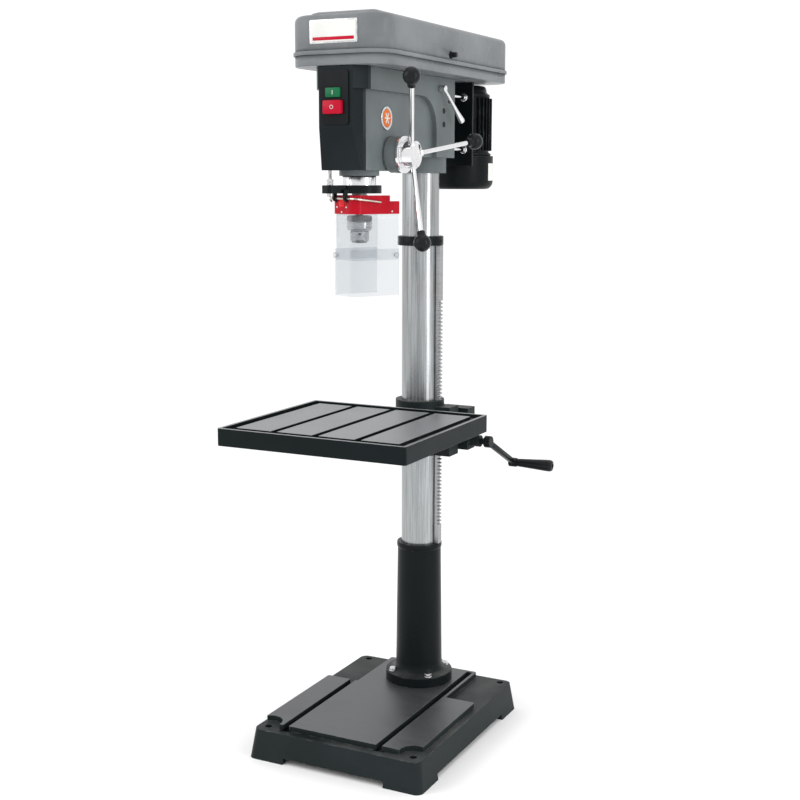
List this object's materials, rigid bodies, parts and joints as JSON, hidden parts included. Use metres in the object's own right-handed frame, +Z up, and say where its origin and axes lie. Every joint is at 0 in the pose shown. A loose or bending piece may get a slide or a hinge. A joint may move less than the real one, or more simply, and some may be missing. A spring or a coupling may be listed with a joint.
{
  "type": "drill press",
  "caption": "Floor-standing drill press with a belt-drive head, upright motor, chuck with a clear guard, and a tilting cranked table.",
  "frame": {"origin": "centre of the bounding box's footprint, on the floor", "axes": "+Z up along the column; -Y towards the operator; +X to the operator's right, where the feed handles are"},
  "size_m": [0.506, 0.878, 1.732],
  "materials": {
    "dark_paint": "semi-gloss",
    "black_paint": "semi-gloss",
    "grey_paint": "semi-gloss",
    "silver_paint": "gloss",
    "red_paint": "gloss",
    "bright_steel": "ground",
    "chrome": "polished",
    "black_plastic": "gloss",
    "cover_plastic": "satin",
    "green_plastic": "gloss",
    "red_plastic": "gloss",
    "clear_plastic": "clear",
    "belt_rubber": "matt"
  },
  "bodies": {
    "frame": {"base_casting": "dark_paint", "column_pedestal": "black_paint", "flange_bolt_1": "chrome", "flange_bolt_2": "chrome", "flange_bolt_3": "chrome", "flange_bolt_4": "chrome", "column_tube": "bright_steel", "rack_collar": "black_paint", "head_casting": "grey_paint", "head_front_cover": "cover_plastic", "switch_plate": "black_plastic", "feed_housing": "grey_paint", "spring_housing": "black_paint", "belt_tray": "silver_paint", "centre_post": "bright_steel", "front_belt": "belt_rubber", "rear_belt": "belt_rubber"},
    "lid": {"belt_cover_lid": "silver_paint", "lid_knob": "black_plastic"},
    "motor_carriage": {"motor_plate": "black_paint", "motor_frame": "black_paint", "motor_fan_cover": "black_paint", "slide_bar_1": "bright_steel", "slide_bar_2": "bright_steel"},
    "motor_drive": {"motor_pulley": "bright_steel"},
    "centre_drive": {"centre_pulley": "bright_steel"},
    "spindle_drive": {"spindle_pulley": "bright_steel"},
    "feed": {"feed_hub": "chrome", "feed_arm_1": "chrome", "feed_arm_2": "chrome", "feed_arm_3": "chrome", "feed_knob_1": "black_plastic", "feed_knob_2": "black_plastic", "feed_knob_3": "black_plastic"},
    "quill": {"quill_tube": "bright_steel", "depth_collar": "black_paint", "depth_rod": "chrome"},
    "spindle": {"spindle_shaft": "bright_steel", "chuck_body": "bright_steel"},
    "chuck_sleeve_body": {"chuck_sleeve": "chrome"},
    "jaw_1": {"chuck_jaw_1": "bright_steel"},
    "jaw_2": {"chuck_jaw_2": "bright_steel"},
    "jaw_3": {"chuck_jaw_3": "bright_steel"},
    "guard": {"guard_bracket": "red_paint", "guard_wire": "bright_steel", "upper_shield": "clear_plastic"},
    "guard_lower": {"lower_shield": "clear_plastic", "shield_screw_1": "clear_plastic", "shield_screw_2": "clear_plastic"},
    "tension": {"tension_lever": "chrome"},
    "start": {"start_button": "green_plastic"},
    "stop": {"stop_button": "red_plastic"},
    "rack": {"table_rack": "bright_steel"},
    "bracket": {"table_bracket": "dark_paint"},
    "lock": {"bracket_lock": "black_plastic"},
    "lift_gears": {"lift_gear": "bright_steel"},
    "crank": {"crank_arm": "black_paint"},
    "grip": {"crank_grip": "black_plastic"},
    "tilting_table": {"table": "dark_paint", "tilt_bolt": "chrome"}
  },
  "joints": [
    {"name": "lid_hinge", "type": "hinge", "parent": "frame", "child": "lid", "pos_m": [-0.146, 0.058, 1.631], "axis": [0, -1, 0], "range_deg": [0, 95]},
    {"name": "motor_slide", "type": "slide", "parent": "frame", "child": "motor_carriage", "axis": [0, -1, 0], "range_m": [0, 0.025]},
    {"name": "tension_turn", "type": "hinge", "parent": "frame", "child": "tension", "pos_m": [0.06, 0.088, 1.585], "axis": [1, 0, 0], "range_deg": [0, 40.2]},
    {"name": "spindle_drive_spin", "type": "hinge", "parent": "frame", "child": "spindle_drive", "pos_m": [-0.016, -0.2, 1.68], "axis": [0, 0, 1], "continuous": true},
    {"name": "centre_drive_spin", "type": "hinge", "parent": "frame", "child": "centre_drive", "pos_m": [-0.016, 0.06, 1.68], "axis": [0, 0, 1], "continuous": true},
    {"name": "motor_drive_spin", "type": "hinge", "parent": "motor_carriage", "child": "motor_drive", "pos_m": [-0.016, 0.353, 1.68], "axis": [0, 0, 1], "continuous": true},
    {"name": "spindle_spin", "type": "hinge", "parent": "quill", "child": "spindle", "pos_m": [-0.016, -0.2, 1.4], "axis": [0, 0, 1], "continuous": true},
    {"name": "feed_turn", "type": "hinge", "parent": "frame", "child": "feed", "pos_m": [-0.016, -0.148, 1.426], "axis": [1, 0, 0], "range_deg": [0, 537], "stiffness_Nm_per_rad": 0.6, "springref_deg": -229.18},
    {"name": "quill_feed", "type": "slide", "parent": "frame", "child": "quill", "axis": [0, 0, -1], "range_m": [0, 0.15]},
    {"name": "chuck_sleeve_turn", "type": "hinge", "parent": "spindle", "child": "chuck_sleeve_body", "pos_m": [-0.016, -0.2, 1.265], "axis": [0, 0, 1], "range_deg": [0, 720]},
    {"name": "jaw_1_slide", "type": "slide", "parent": "spindle", "child": "jaw_1", "axis": [-0.2756, 0, -0.9613], "range_m": [0, 0.01]},
    {"name": "jaw_2_slide", "type": "slide", "parent": "spindle", "child": "jaw_2", "axis": [0.1378, -0.2387, -0.9613], "range_m": [0, 0.01]},
    {"name": "jaw_3_slide", "type": "slide", "parent": "spindle", "child": "jaw_3", "axis": [0.1378, 0.2387, -0.9613], "range_m": [0, 0.01]},
    {"name": "guard_flip", "type": "hinge", "parent": "quill", "child": "guard", "pos_m": [-0.03947, -0.24415, 1.328], "axis": [-0.8829, 0.4695, 0], "range_deg": [0, 90]},
    {"name": "shield_slide", "type": "slide", "parent": "guard", "child": "guard_lower", "axis": [0, 0, 1], "range_m": [0, 0.07]},
    {"name": "start_press", "type": "slide", "parent": "frame", "child": "start", "axis": [0, 1, 0], "range_m": [0, 0.004], "stiffness_N_per_m": 900, "springref_m": -0.001},
    {"name": "stop_press", "type": "slide", "parent": "frame", "child": "stop", "axis": [0, 1, 0], "range_m": [0, 0.004], "stiffness_N_per_m": 900, "springref_m": -0.001},
    {"name": "table_swing", "type": "hinge", "parent": "frame", "child": "rack", "pos_m": [-0.016, 0.118, 0.75], "axis": [0, 0, 1], "range_deg": [-90, 90]},
    {"name": "table_lift", "type": "slide", "parent": "rack", "child": "bracket", "axis": [0, 0, 1], "range_m": [-0.228, 0.27]},
    {"name": "lift_gear_turn", "type": "hinge", "parent": "bracket", "child": "lift_gears", "pos_m": [0.057, 0.118, 0.755], "axis": [0, 1, 0], "continuous": true},
    {"name": "crank_turn", "type": "hinge", "parent": "bracket", "child": "crank", "pos_m": [0.134, 0.19, 0.713], "axis": [1, 0, 0], "continuous": true},
    {"name": "grip_spin", "type": "hinge", "parent": "crank", "child": "grip", "pos_m": [0.141, 0.36796, 0.6262], "axis": [1, 0, 0], "continuous": true},
    {"name": "bracket_lock_turn", "type": "hinge", "parent": "bracket", "child": "lock", "pos_m": [-0.05, 0.198, 0.751], "axis": [-1, 0, 0], "range_deg": [0, 60]},
    {"name": "table_tilt", "type": "hinge", "parent": "bracket", "child": "tilting_table", "pos_m": [-0.016, 0.008, 0.742], "axis": [0, 1, 0], "range_deg": [-45, 45]}
  ],
  "couplings": [
    {"joint": "quill_feed", "follows": "feed_turn", "m_per_rad": 0.016},
    {"joint": "spindle_spin", "follows": "spindle_drive_spin", "ratio": 1},
    {"joint": "centre_drive_spin", "follows": "spindle_drive_spin", "ratio": 0.80645},
    {"joint": "motor_drive_spin", "follows": "spindle_drive_spin", "ratio": 1.5046},
    {"joint": "tension_turn", "follows": "motor_slide", "rad_per_m": 28},
    {"joint": "lift_gear_turn", "follows": "table_lift", "rad_per_m": -74.074},
    {"joint": "crank_turn", "follows": "table_lift", "rad_per_m": 370.37},
    {"joint": "jaw_1_slide", "follows": "chuck_sleeve_turn", "m_per_rad": 0.000795},
    {"joint": "jaw_2_slide", "follows": "chuck_sleeve_turn", "m_per_rad": 0.000795},
    {"joint": "jaw_3_slide", "follows": "chuck_sleeve_turn", "m_per_rad": 0.000795}
  ]
}
